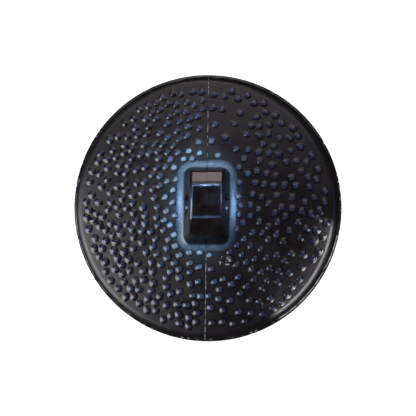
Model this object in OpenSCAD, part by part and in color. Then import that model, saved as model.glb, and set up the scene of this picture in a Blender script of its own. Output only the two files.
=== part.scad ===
// Moulded self-shank coat button in two halves, lying on its face with the shank up.
// The front is a round cap with a rounded rim and a shallow recess. The back is a shallow
// dome with a solid drilled shank, cemented onto the cap's rim a little off centre.
// Millimetres, +Z up. The origin is on the cap's axis, in the plane that its face rests on.

/* [Front cap] */
// Outside diameter over the rim
button_d = 25.4; // [24:0.1:28]
// Height of the cap, from the rest ring to the seat for the back
cap_h = 2.5; // [2.3:0.1:3.5]
// Outside diameter of the flat ring that the face rests on
ring_d = 22.4; // [21:0.1:22.6]
// Width of that flat ring
ring_w = 1.3; // [0.8:0.1:2]
// How far the middle of the face is dished
dish = 0.5; // [0.2:0.05:0.7]
// Thickness of the cap behind the middle of the face
face_t = 1.0; // [0.8:0.1:1.2]
// Radius of the rim's upper outside edge
rim_round = 0.3; // [0.15:0.05:0.4]
// Diameter of the recess inside the seat
recess_d = 23.1; // [22.4:0.1:23.2]

/* [Back] */
// Diameter of the domed back, a little under the rim
back_d = 24.74; // [24:0.02:24.9]
// How far the back is cemented off the cap's centre, towards -X
back_shift_x = 0.14; // [0:0.01:0.15]
// How far it is cemented off the cap's centre, towards -Y
back_shift_y = 0.17; // [0:0.01:0.18]
// Height of the upright edge below the shoulder
edge_h = 0.45; // [0.3:0.05:0.8]
// Radius of the turned-down shoulder
shoulder_r = 0.45; // [0.3:0.05:0.6]
// Rise of the dome above the shoulder
dome_rise = 1.6; // [1.2:0.1:2.2]
// Wall under the dome
dome_wall = 1.2; // [1:0.1:1.4]
// Depth of the locating ring that stands in the cap's recess
spigot_h = 0.8; // [0.5:0.1:0.9]
// Gap between the locating ring and the recess
spigot_gap = 0.25; // [0.24:0.01:0.3]
// Width of the locating ring
spigot_w = 1.0; // [0.8:0.1:1.4]

/* [Shank] */
// Height of the shank above the top of the dome
shank_h = 4.4; // [4:0.1:5]
// Thickness of the shank across its sides, where it meets the dome
shank_base_w = 4.3; // [4:0.1:4.8]
// Length of the shank where it meets the dome
shank_base_l = 7.2; // [6.8:0.1:8]
// Thickness of the shank at its flat top
shank_top_w = 3.17; // [3:0.01:3.6]
// Length of the shank at the lower edges of its end slopes
shank_slope_l = 6; // [5.6:0.1:6.4]
// Length of the flat top
shank_flat_l = 3.32; // [2.8:0.02:4]
// Radius of the shank's upright corners at its foot
corner_r = 0.76; // [0.4:0.02:1]
// Drop of each end slope
slope_drop = 1.25; // [1:0.05:1.6]
// Diameter of the thread hole across the shank
thread_d = 2; // [1.6:0.1:2.2]
// Height of the thread hole's centre above the dome
thread_z = 1.75; // [1.5:0.05:2]

/* [Cement] */
// Thickness of the cement film between the seat and the back
cement_t = 0.1; // [0.05:0.01:0.15]
// Width of the cement ring
cement_w = 0.45; // [0.3:0.05:0.5]

/* [Hidden] */

round_fn = 96;
corner_fn = 48;
arc_steps = 8;
dome_steps = 20;
// How deep the shank is sunk into the dome, so that the two join
overlap = 0.4;
// How far cutting and trimming shapes stand past what they cut
margin = 1;
// Gap between the recess and the cement ring
cement_gap = 0.1;

button_r = button_d / 2;
ring_r = ring_d / 2;
foot_r = button_r - ring_r;
recess_r = recess_d / 2;
recess_z = dish + face_t;

back_r = back_d / 2;
back_z = cap_h + cement_t;
flat_r = back_r - shoulder_r;
shoulder_z = back_z + edge_h;
spigot_r = recess_r - spigot_gap;
pocket_r = spigot_r - spigot_w;
dome_top = shoulder_z + shoulder_r + dome_rise;
// The dome's radius that makes it run into the shoulder without a corner
dome_k = shoulder_r + dome_rise;
dome_r = (flat_r * flat_r + dome_k * dome_k - shoulder_r * shoulder_r) / (2 * dome_rise);
dome_centre = dome_top - dome_r;
dome_edge_angle = asin(flat_r / (dome_r - shoulder_r));
pocket_edge_angle = asin(pocket_r / (dome_r - dome_wall));

shank_foot = dome_top - overlap;
foot_grow = overlap / (shank_h - slope_drop);
cement_in = recess_r + cement_gap;

// Points on an arc in a profile, from angle a to angle b
function arc(x, y, r, a, b, steps) =
    [for (i = [0:steps]) let (t = a + (b - a) * i / steps) [x + r * cos(t), y + r * sin(t)]];

// Half section of the front cap: face, rest ring, rounded rim, seat and recess
cap_profile = concat(
    [[0, dish]],
    [for (i = [1:dome_steps - 1])
        let (r = (ring_r - ring_w) * i / dome_steps)
        [r, dish * (1 - pow(r / (ring_r - ring_w), 2))]],
    [[ring_r - ring_w, 0]],
    arc(ring_r, foot_r, foot_r, -90, 0, arc_steps),
    arc(button_r - rim_round, cap_h - rim_round, rim_round, 0, 90, arc_steps),
    [[recess_r, cap_h], [recess_r, recess_z], [0, recess_z]]
);

// Half section of the domed back without its shank: dome, shoulder, edge, locating ring, pocket
back_profile = concat(
    arc(0, dome_centre, dome_r, 90, 90 - dome_edge_angle, dome_steps),
    [for (i = [1:arc_steps]) let (t = (90 - dome_edge_angle) * (1 - i / arc_steps))
        [flat_r + shoulder_r * cos(t), shoulder_z + shoulder_r * sin(t)]],
    [[back_r, back_z], [spigot_r, back_z], [spigot_r, back_z - spigot_h],
        [pocket_r, back_z - spigot_h]],
    arc(0, dome_centre, dome_r - dome_wall, 90 - pocket_edge_angle, 90, dome_steps)
);

// Side view of the shank, seen along X: tapered ends and two end slopes, as [y, z] points
shank_side = [
    [-(shank_base_l + foot_grow * (shank_base_l - shank_slope_l)) / 2, shank_foot],
    [(shank_base_l + foot_grow * (shank_base_l - shank_slope_l)) / 2, shank_foot],
    [shank_slope_l / 2, dome_top + shank_h - slope_drop],
    [shank_flat_l / 2, dome_top + shank_h],
    [-shank_flat_l / 2, dome_top + shank_h],
    [-shank_slope_l / 2, dome_top + shank_h - slope_drop]
];

// End view of the shank, seen along Y: tapered sides, as [x, z] points
shank_end = [
    [-(shank_base_w / 2 + overlap * (shank_base_w - shank_top_w) / 2 / shank_h), shank_foot],
    [shank_base_w / 2 + overlap * (shank_base_w - shank_top_w) / 2 / shank_h, shank_foot],
    [shank_top_w / 2, dome_top + shank_h],
    [-shank_top_w / 2, dome_top + shank_h]
];

// Plan of the shank at its foot: a rectangle with round corners
module shank_plan() {
    foot_w = shank_end[1][0] * 2;
    foot_l = shank_side[1][0] * 2;
    square([foot_w - 2 * corner_r, foot_l], center = true);
    square([foot_w, foot_l - 2 * corner_r], center = true);
    for (x = [-1, 1], y = [-1, 1])
        translate([x * (foot_w / 2 - corner_r), y * (foot_l / 2 - corner_r)])
            circle(r = corner_r, $fn = corner_fn);
}

module shank() {
    intersection() {
        rotate([90, 0, 90])
            linear_extrude(height = shank_base_w + 2 * margin, center = true)
                polygon(shank_side);
        rotate([90, 0, 0])
            linear_extrude(height = shank_base_l + 2 * margin, center = true)
                polygon(shank_end);
        translate([0, 0, shank_foot])
            linear_extrude(height = shank_h + margin) shank_plan();
    }
}

module shank_back() {
    color([0.10, 0.10, 0.12])
        translate([-back_shift_x, -back_shift_y, 0])
            difference() {
                union() {
                    rotate_extrude($fn = round_fn) polygon(back_profile);
                    shank();
                }
                translate([0, 0, dome_top + thread_z])
                    rotate([0, 90, 0])
                        cylinder(h = shank_base_w + 2 * margin, d = thread_d, center = true,
                            $fn = round_fn);
            }
}

module front_cap() {
    color([0.04, 0.04, 0.05])
        rotate_extrude($fn = round_fn) polygon(cap_profile);
}

module cement_ring() {
    color([0.55, 0.45, 0.25])
        translate([0, 0, cap_h])
            difference() {
                cylinder(h = cement_t, r = cement_in + cement_w, $fn = round_fn);
                translate([0, 0, -margin])
                    cylinder(h = cement_t + 2 * margin, r = cement_in, $fn = round_fn);
            }
}

shank_back();
front_cap();
cement_ring();
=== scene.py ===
"""Looks of a moulded self-shank coat button, lying on its face with the shank up.

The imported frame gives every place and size. This script stands a finished mesh in for each of
its nodes, dresses them, and sets the floor, the lights and the camera.
"""

import logging
import math
import random
from collections.abc import Callable, Iterable
from dataclasses import dataclass, field
from enum import Enum

import bmesh
import bpy
from bpy.types import Material, NodeSocket, NodeTree, Object
from mathutils import Matrix, Vector, noise


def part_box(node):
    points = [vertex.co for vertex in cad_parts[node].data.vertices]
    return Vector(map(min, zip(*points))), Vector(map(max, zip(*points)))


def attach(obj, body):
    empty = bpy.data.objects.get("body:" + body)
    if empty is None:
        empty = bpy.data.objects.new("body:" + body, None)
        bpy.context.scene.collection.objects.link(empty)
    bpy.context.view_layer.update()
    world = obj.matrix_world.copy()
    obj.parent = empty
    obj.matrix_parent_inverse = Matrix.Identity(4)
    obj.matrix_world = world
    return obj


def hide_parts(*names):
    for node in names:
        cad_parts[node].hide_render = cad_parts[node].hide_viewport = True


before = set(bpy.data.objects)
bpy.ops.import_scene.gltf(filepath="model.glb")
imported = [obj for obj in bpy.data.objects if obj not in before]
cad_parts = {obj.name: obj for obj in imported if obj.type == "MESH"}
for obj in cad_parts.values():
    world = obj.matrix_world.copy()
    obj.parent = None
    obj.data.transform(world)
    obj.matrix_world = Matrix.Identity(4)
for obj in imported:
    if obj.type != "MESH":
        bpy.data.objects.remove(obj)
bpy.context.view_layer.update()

LOG = logging.getLogger("button")
MM = 0.001
TINY = 1e-7
NEAR = MM / 50
RECESS_RADIUS = 11.55 * MM
POLE_RADIUS = 0.35 * MM
BODY = "root"
# Point attribute that holds where the blue reflection of the ring lamps is painted.
PAINTED_GLOW = "painted_blue_glow"

Colour = tuple[float, float, float, float]
Profile = list[tuple[float, float]]


class Slot(Enum):
    """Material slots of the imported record."""

    BACK = "back_plastic"
    CAP = "cap_plastic"
    CEMENT = "cement"


class Node(Enum):
    """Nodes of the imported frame."""

    BACK = "shank_back"
    CAP = "front_cap"
    CEMENT = "cement_ring"


# ---------------------------------------------------------------- modelling tools


def clear_selection() -> None:
    """Leaves edit mode and deselects every object."""
    if bpy.context.object and bpy.context.object.mode != "OBJECT":
        bpy.ops.object.mode_set(mode="OBJECT")
    bpy.ops.object.select_all(action="DESELECT")


def activate(piece: Object) -> None:
    """Selects one object alone and makes it the active one.

    Args:
        piece: The object that the next operators act on.
    """
    clear_selection()
    piece.select_set(True)
    bpy.context.view_layer.objects.active = piece


def apply_place(piece: Object) -> None:
    """Moves an object's place, turn and scale into its mesh."""
    activate(piece)
    bpy.ops.object.transform_apply(location=True, rotation=True, scale=True)


def begin_edit(name: str, mode: str = "VERT") -> Object:
    """Names the primitive just added, applies its place and enters edit mode on it.

    Args:
        name: Name for the object and its mesh.
        mode: Select mode to start in: VERT, EDGE or FACE.

    Returns:
        The object, in edit mode with everything selected.
    """
    piece = bpy.context.object
    piece.name = name
    piece.data.name = name
    apply_place(piece)
    bpy.ops.object.mode_set(mode="EDIT")
    bpy.ops.mesh.select_mode(type=mode)
    bpy.ops.mesh.select_all(action="SELECT")
    return piece


def close_edit() -> None:
    """Turns every face outwards and leaves edit mode."""
    bpy.ops.mesh.select_all(action="SELECT")
    bpy.ops.mesh.normals_make_consistent(inside=False)
    bpy.ops.object.mode_set(mode="OBJECT")


def select_where(piece: Object, kind: str, test: Callable[..., bool]) -> int:
    """Selects the vertices, edges or faces of a mesh in edit mode that pass a test.

    Args:
        piece: The object being edited.
        kind: Which elements to look at: verts, edges or faces.
        test: Called with each element; true selects it.

    Returns:
        How many elements are selected.
    """
    mesh = bmesh.from_edit_mesh(piece.data)
    for group in (mesh.faces, mesh.edges, mesh.verts):
        for item in group:
            item.select_set(False)
    chosen = [item for item in getattr(mesh, kind) if test(item)]
    for item in chosen:
        item.select_set(True)
    if kind == "verts":
        mesh.select_flush(True)
    else:
        mesh.select_flush_mode()
    bmesh.update_edit_mesh(piece.data)
    return len(chosen)


def push_ring(rise: float, scale: tuple[float, float], pivot: Vector) -> None:
    """Extrudes the selected loop or face, lifts it and scales it about a pivot.

    Args:
        rise: How far the new ring moves along Z.
        scale: Its scale along X and Y.
        pivot: Centre of the scaling.
    """
    bpy.ops.mesh.extrude_region_move(TRANSFORM_OT_translate={"value": (0, 0, rise)})
    bpy.ops.transform.resize(value=(scale[0], scale[1], 1), center_override=pivot)


def turn_body(name: str, profile: Profile, centre: Vector, segments: int) -> Object:
    """Makes a closed turned body by extruding a circle from point to point of a half section.

    Args:
        name: Name for the object.
        profile: Radius and height of each ring in metres; the first and last become poles.
        centre: The axis's place in plan.
        segments: How many sides each ring has.

    Returns:
        The closed body, in object mode.
    """
    clear_selection()
    first_radius, first_height = profile[0]
    bpy.ops.mesh.primitive_circle_add(
        vertices=segments, radius=first_radius, location=(centre.x, centre.y, first_height)
    )
    piece = begin_edit(name, "EDGE")
    for (radius, height), (next_radius, next_height) in zip(profile, profile[1:]):
        ratio = next_radius / radius
        pivot = Vector((centre.x, centre.y, next_height))
        push_ring(next_height - height, (ratio, ratio), pivot)
    bpy.ops.mesh.merge(type="CENTER")
    bpy.ops.mesh.select_mode(type="VERT")
    select_where(piece, "verts", lambda v: v.is_boundary)
    bpy.ops.mesh.merge(type="CENTER")
    close_edit()
    return piece


def smooth(piece: Object, degrees: float) -> None:
    """Shades a piece smooth, with creases where faces meet at more than an angle."""
    activate(piece)
    bpy.ops.object.shade_smooth_by_angle(angle=math.radians(degrees))


def join(pieces: Iterable[Object], name: str) -> Object:
    """Joins pieces of one moulding into one object.

    Args:
        pieces: The objects to join; the first one's name and slots come first.
        name: Name for the result.

    Returns:
        The joined object.
    """
    parts = list(pieces)
    clear_selection()
    for part in parts:
        part.select_set(True)
    bpy.context.view_layer.objects.active = parts[0]
    bpy.ops.object.join()
    parts[0].name = name
    parts[0].data.name = name
    return parts[0]


def arc(cx: float, cz: float, radius: float, start: float, end: float, steps: int) -> Profile:
    """Points on an arc of a half section, from one angle in degrees to another.

    Args:
        cx: Radius at which the arc's centre lies.
        cz: Height of the arc's centre.
        radius: Radius of the arc.
        start: First angle, from the horizontal.
        end: Last angle.
        steps: How many stretches the arc is split into.

    Returns:
        The points, first and last included.
    """
    angles = [math.radians(start + (end - start) * i / steps) for i in range(steps + 1)]
    return [(cx + radius * math.cos(a), cz + radius * math.sin(a)) for a in angles]


def place_faces(piece: Object, index: int, test: Callable[..., bool]) -> None:
    """Gives the faces that pass a test another material slot of their object.

    Args:
        piece: The object, in object mode.
        index: The slot's number.
        test: Called with each polygon; true gives it the slot.
    """
    for face in piece.data.polygons:
        if test(face):
            face.material_index = index


def paint_points(piece: Object, name: str, value: Callable[[Vector], float]) -> None:
    """Stores a number on each of a piece's points, for its finish to read.

    Args:
        piece: The object, in object mode.
        name: The attribute's name.
        value: Gives the number for a point's place in the object.
    """
    layer = piece.data.attributes.new(name, "FLOAT", "POINT")
    for item, vert in zip(layer.data, piece.data.vertices):
        item.value = value(vert.co)


def rise_between(value: float, low: float, high: float) -> float:
    """A straight rise from 0 to 1 between two values."""
    return min(max((value - low) / (high - low), 0.0), 1.0)


# ---------------------------------------------------------------- shader tools


class Graph:
    """A node tree under construction, with short calls for the nodes that recur."""

    def __init__(self, tree: NodeTree) -> None:
        """Takes the tree that the nodes are added to."""
        self.tree = tree

    def put(self, socket: NodeSocket, value: object) -> None:
        """Links an output to an input, or sets the input to a plain value.

        Args:
            socket: The input.
            value: An output or a plain value.
        """
        if isinstance(value, NodeSocket):
            self.tree.links.new(value, socket)
        else:
            socket.default_value = value

    def add(self, kind: str, **values: object) -> bpy.types.Node:
        """Adds a node.

        Args:
            kind: The node type's name, without its ShaderNode prefix.
            values: Values or sockets for its inputs, with underscores for spaces.

        Returns:
            The node.
        """
        node = self.tree.nodes.new(f"ShaderNode{kind}")
        for name, value in values.items():
            self.put(node.inputs[name.replace("_", " ")], value)
        return node

    def math(self, kind: str, a: object, b: object = 0.0) -> NodeSocket:
        """Adds a math node for two values or sockets.

        Args:
            kind: The operation's name.
            a: First value or socket.
            b: Second value or socket.

        Returns:
            The result's socket.
        """
        node = self.add("Math")
        node.operation = kind
        self.put(node.inputs[0], a)
        self.put(node.inputs[1], b)
        return node.outputs[0]

    def plus(self, a: object, b: object) -> NodeSocket:
        """The sum of two values or sockets."""
        return self.math("ADD", a, b)

    def times(self, a: object, b: object) -> NodeSocket:
        """The product of two values or sockets."""
        return self.math("MULTIPLY", a, b)

    def span(self, across: NodeSocket, along: NodeSocket) -> NodeSocket:
        """The distance that two offsets at right angles make."""
        return self.math("SQRT", self.plus(self.times(across, across), self.times(along, along)))

    def place(self, stretch: tuple[float, float, float] = (1, 1, 1), turn: float = 0.0) -> NodeSocket:
        """Object coordinates in millimetres.

        Args:
            stretch: Scale along X, Y and Z, on top of the change of unit.
            turn: Turn about Z, in radians.

        Returns:
            The coordinates' socket.
        """
        coords = self.add("TexCoord").outputs["Object"]
        scale = [s / MM for s in stretch]
        return self.add("Mapping", Vector=coords, Rotation=(0, 0, turn), Scale=scale).outputs["Vector"]

    def ramp(self, value: NodeSocket, low: float, high: float) -> NodeSocket:
        """A smooth rise from 0 to 1.

        Args:
            value: The value's socket.
            low: Where the rise starts.
            high: Where it ends.

        Returns:
            The mask's socket.
        """
        node = self.add("MapRange", Value=value, From_Min=low, From_Max=high)
        node.interpolation_type = "SMOOTHSTEP"
        return node.outputs["Result"]

    def noise(self, vector: NodeSocket, scale: object, detail: float) -> NodeSocket:
        """A noise texture's value.

        Args:
            vector: Coordinates to read.
            scale: Scale per millimetre, a value or a socket.
            detail: Detail of the noise.

        Returns:
            The value's socket.
        """
        return self.add("TexNoise", Vector=vector, Scale=scale, Detail=detail).outputs["Fac"]

    def cells(self, vector: NodeSocket, scale: NodeSocket, feature: str) -> NodeSocket:
        """Distances in a pattern of cells.

        Args:
            vector: Coordinates to read.
            scale: Scale per millimetre.
            feature: What the distance is measured from.

        Returns:
            The distance's socket.
        """
        node = self.add("TexVoronoi")
        node.feature = feature
        self.put(node.inputs["Vector"], vector)
        self.put(node.inputs["Scale"], scale)
        return node.outputs["Distance"]

    def mix(self, mask: NodeSocket, a: object, b: object) -> NodeSocket:
        """Mixes two colours by a mask.

        Args:
            mask: How much of the second colour shows.
            a: First colour or its socket.
            b: Second colour or its socket.

        Returns:
            The mixed colour's socket.
        """
        node = self.add("Mix")
        node.data_type = "RGBA"
        self.put(node.inputs["Factor"], mask)
        self.put(node.inputs[6], a)
        self.put(node.inputs[7], b)
        return node.outputs[2]


class Group(Graph):
    """A shared effect under construction: a node group with float sockets."""

    def __init__(self, name: str, inputs: dict[str, float], outputs: Iterable[str]) -> None:
        """Starts the group.

        Args:
            name: Name for the group.
            inputs: Input names and their default values.
            outputs: Output names.
        """
        super().__init__(bpy.data.node_groups.new(name, "ShaderNodeTree"))
        for key, value in inputs.items():
            self.declare(key, "INPUT").default_value = value
        for key in outputs:
            self.declare(key, "OUTPUT")
        self.ins = self.tree.nodes.new("NodeGroupInput").outputs
        self.outs = self.tree.nodes.new("NodeGroupOutput").inputs

    def declare(self, key: str, way: str) -> bpy.types.NodeTreeInterfaceSocket:
        """Adds a float socket to the group's interface."""
        return self.tree.interface.new_socket(key, in_out=way, socket_type="NodeSocketFloat")


class Shader(Graph):
    """A material under construction."""

    def __init__(self, name: str) -> None:
        """Starts a node material with a Principled BSDF.

        Args:
            name: Name for the material.
        """
        self.material = bpy.data.materials.new(name)
        self.material.use_nodes = True
        super().__init__(self.material.node_tree)
        self.surface = self.tree.nodes["Principled BSDF"]

    def set(self, **values: object) -> None:
        """Sets or links sockets of the surface shader by name, with underscores for spaces."""
        for name, value in values.items():
            self.put(self.surface.inputs[name.replace("_", " ")], value)

    def effect(self, tree: NodeTree, **values: float) -> bpy.types.NodeOutputs:
        """Places a shared effect in the material.

        Args:
            tree: The effect's node group.
            values: Values for its inputs, with underscores for spaces.

        Returns:
            The effect's outputs.
        """
        node = self.add("Group")
        node.node_tree = tree
        for name, value in values.items():
            node.inputs[name.replace("_", " ")].default_value = value
        return node.outputs

    def painted(self, name: str) -> NodeSocket:
        """Reads a number that is stored on the mesh's points.

        Args:
            name: The attribute's name.

        Returns:
            The number's socket.
        """
        node = self.add("Attribute")
        node.attribute_name = name
        return node.outputs["Fac"]

    def bump(self, height: NodeSocket, depth: float) -> None:
        """Feeds a height to the surface's normal.

        Args:
            height: Height socket, from 0 to 1.
            depth: The relief in metres where the height is 1.
        """
        node = self.add("Bump", Strength=1.0, Distance=depth, Height=height)
        self.set(Normal=node.outputs["Normal"])


def mould_grain() -> NodeTree:
    """Fine texture that a mould leaves on plastic.

    Returns:
        A group with inputs Scale and Patch Scale, both per millimetre, and outputs Height and Patches.
    """
    group = Group("mould_grain", {"Scale": 12.0, "Patch Scale": 0.35}, ("Height", "Patches"))
    grain_detail, patch_detail = 3.0, 4.0
    patch_low, patch_high = 0.3, 0.7
    place = group.place()
    patches = group.noise(place, group.ins["Patch Scale"], patch_detail)
    group.put(group.outs["Height"], group.noise(place, group.ins["Scale"], grain_detail))
    group.put(group.outs["Patches"], group.ramp(patches, patch_low, patch_high))
    return group.tree


def shank_distance() -> NodeTree:
    """Distance in plan from the shank, with ends that reach further than its sides.

    Returns:
        A group with inputs Left and Up, the middle's place in millimetres, and Shrink, the share of
        the distance along the shank that counts; and with output Distance.
    """
    group = Group("shank_distance", {"Left": -0.75, "Up": 0.3, "Shrink": 0.62}, ("Distance",))
    parts = group.add("SeparateXYZ", Vector=group.place()).outputs
    across = group.math("SUBTRACT", parts["X"], group.ins["Left"])
    along = group.times(group.math("SUBTRACT", parts["Y"], group.ins["Up"]), group.ins["Shrink"])
    group.put(group.outs["Distance"], group.span(across, along))
    return group.tree


def hairline_scratches() -> NodeTree:
    """Thin straight scratches in three directions, broken into short lengths.

    Returns:
        A group with inputs Scale, Width and Cover, and output Mask.
    """
    group = Group("hairline_scratches", {"Scale": 0.55, "Width": 0.005, "Cover": 0.66}, ("Mask",))
    turns = (0.5, 1.9, 2.7)
    stretch = (1, 0.16, 1)
    break_scale, break_detail = 0.45, 2.0
    total: object = 0.0
    for turn in turns:
        place = group.place(stretch, turn)
        edges = group.cells(place, group.ins["Scale"], "DISTANCE_TO_EDGE")
        line = group.math("LESS_THAN", edges, group.ins["Width"])
        broken = group.noise(place, break_scale, break_detail)
        kept = group.math("GREATER_THAN", broken, group.ins["Cover"])
        total = group.math("MAXIMUM", group.times(line, kept), total)
    group.put(group.outs["Mask"], total)
    return group.tree


def dust_specks() -> NodeTree:
    """Sparse pale specks of dust.

    Returns:
        A group with inputs Scale, Size and Cover, and output Mask.
    """
    group = Group("dust_specks", {"Scale": 1.6, "Size": 0.07, "Cover": 0.62}, ("Mask",))
    drift_scale, drift_detail = 0.4, 1.0
    place = group.place()
    near = group.math("LESS_THAN", group.cells(place, group.ins["Scale"], "F1"), group.ins["Size"])
    drifts = group.noise(place, drift_scale, drift_detail)
    kept = group.math("GREATER_THAN", drifts, group.ins["Cover"])
    group.put(group.outs["Mask"], group.times(near, kept))
    return group.tree


@dataclass(frozen=True)
class Effects:
    """The node groups that the finishes share."""

    grain: NodeTree
    scratches: NodeTree
    dust: NodeTree
    distance: NodeTree

    @staticmethod
    def build() -> "Effects":
        """Builds each group once."""
        return Effects(mould_grain(), hairline_scratches(), dust_specks(), shank_distance())


# ---------------------------------------------------------------- finishes


@dataclass(frozen=True)
class SatinMoulding:
    """Near-black plastic from a lightly textured mould, with hairlines and dust.

    Blue light is painted on what stands proud: a reflection of the ring lamps on the studs and the shank's
    flared foot, most of all close to the shank, with a little on the plate there too.
    """

    name: str = "satin_black_moulding"
    dark: Colour = (0.0030, 0.0014, 0.0044, 1)
    light: Colour = (0.0060, 0.0036, 0.0088, 1)
    scratch: Colour = (0.05, 0.055, 0.07, 1)
    dust: Colour = (0.30, 0.27, 0.22, 1)
    painted_glow_near: Colour = (0.27, 0.58, 0.95, 1)
    painted_glow_mid: Colour = (0.034, 0.070, 0.19, 1)
    painted_glow_far: Colour = (0.020, 0.029, 0.072, 1)
    near_end: float = 2.8
    mid_start: float = 4.2
    far_start: float = 7.0
    painted_glow_floor: float = 0.05
    glow_mottle_scale: float = 5.5
    glow_mottle_detail: float = 4.0
    glow_mottle_gain: float = 1.8
    glow_mottle_base: float = 0.1
    roughness: float = 0.35
    roughness_spread: float = 0.08
    dust_roughness: float = 0.4
    grain_scale: float = 9.0
    patch_scale: float = 0.6
    grain_depth: float = 0.007 * MM
    scratch_share: float = 0.6
    ior: float = 1.5

    def painted_blue_glow(self, shader: Shader, effects: Effects, colour: NodeSocket) -> NodeSocket:
        """Lays a painted blue reflection of the ring lamps over a colour.

        Args:
            shader: The material under construction.
            effects: The shared node groups.
            colour: The plastic's own colour.

        Returns:
            The colour with the painted blue reflection.
        """
        # Painted light: a blue reflection of the ring lamps, fading with distance from the shank, in uneven
        # patches.
        away = shader.effect(effects.distance)["Distance"]
        tone = shader.mix(shader.ramp(away, self.near_end, self.mid_start), self.painted_glow_near, self.painted_glow_mid)
        tone = shader.mix(shader.ramp(away, self.mid_start, self.far_start), tone, self.painted_glow_far)
        glow_mottle = shader.noise(shader.place(), self.glow_mottle_scale, self.glow_mottle_detail)
        glow_mottle = shader.plus(shader.times(glow_mottle, self.glow_mottle_gain), self.glow_mottle_base)
        close = shader.math("SUBTRACT", 1.0, shader.ramp(away, self.near_end, self.far_start))
        cover = shader.math("MAXIMUM", shader.painted(PAINTED_GLOW), shader.times(close, self.painted_glow_floor))
        return shader.mix(shader.math("MINIMUM", shader.times(cover, glow_mottle), 1.0), colour, tone)

    def build(self, effects: Effects) -> Material:
        """Builds the material.

        Args:
            effects: The shared node groups.

        Returns:
            The finished material.
        """
        shader = Shader(self.name)
        grain = shader.effect(effects.grain, Scale=self.grain_scale, Patch_Scale=self.patch_scale)
        lines = shader.effect(effects.scratches)["Mask"]
        specks = shader.effect(effects.dust)["Mask"]
        # The base colour carries the painted blue reflection near the shank.
        colour = self.painted_blue_glow(shader, effects, shader.mix(grain["Patches"], self.dark, self.light))
        colour = shader.mix(lines, colour, self.scratch)
        rough = shader.plus(shader.times(grain["Patches"], self.roughness_spread), self.roughness)
        shader.set(
            Base_Color=shader.mix(specks, colour, self.dust),
            Roughness=shader.plus(rough, shader.times(specks, self.dust_roughness)),
            IOR=self.ior,
        )
        cuts = shader.times(lines, self.scratch_share)
        shader.bump(shader.math("SUBTRACT", grain["Height"], cuts), self.grain_depth)
        return shader.material


@dataclass(frozen=True)
class PolishedMoulding:
    """The same plastic where the mould was polished, with faint upright tool lines."""

    name: str = "polished_black_moulding"
    dark: Colour = (0.004, 0.003, 0.003, 1)
    light: Colour = (0.010, 0.0075, 0.007, 1)
    scratch: Colour = (0.06, 0.055, 0.06, 1)
    roughness: float = 0.12
    roughness_spread: float = 0.06
    grain_scale: float = 5.0
    patch_scale: float = 0.9
    scratch_scale: float = 1.1
    scratch_width: float = 0.008
    tool_stretch: tuple[float, float, float] = (9.0, 0.35, 9.0)
    tool_scale: float = 1.0
    tool_detail: float = 2.0
    line_depth: float = 0.0015 * MM
    grain_share: float = 0.5
    ior: float = 1.5

    def build(self, effects: Effects) -> Material:
        """Builds the material.

        Args:
            effects: The shared node groups.

        Returns:
            The finished material.
        """
        shader = Shader(self.name)
        grain = shader.effect(effects.grain, Scale=self.grain_scale, Patch_Scale=self.patch_scale)
        lines = shader.effect(effects.scratches, Scale=self.scratch_scale, Width=self.scratch_width)["Mask"]
        colour = shader.mix(grain["Patches"], self.dark, self.light)
        shader.set(
            Base_Color=shader.mix(lines, colour, self.scratch),
            Roughness=shader.plus(shader.times(grain["Patches"], self.roughness_spread), self.roughness),
            IOR=self.ior,
        )
        tool = shader.noise(shader.place(self.tool_stretch), self.tool_scale, self.tool_detail)
        shader.bump(shader.plus(tool, shader.times(grain["Height"], self.grain_share)), self.line_depth)
        return shader.material


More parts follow.
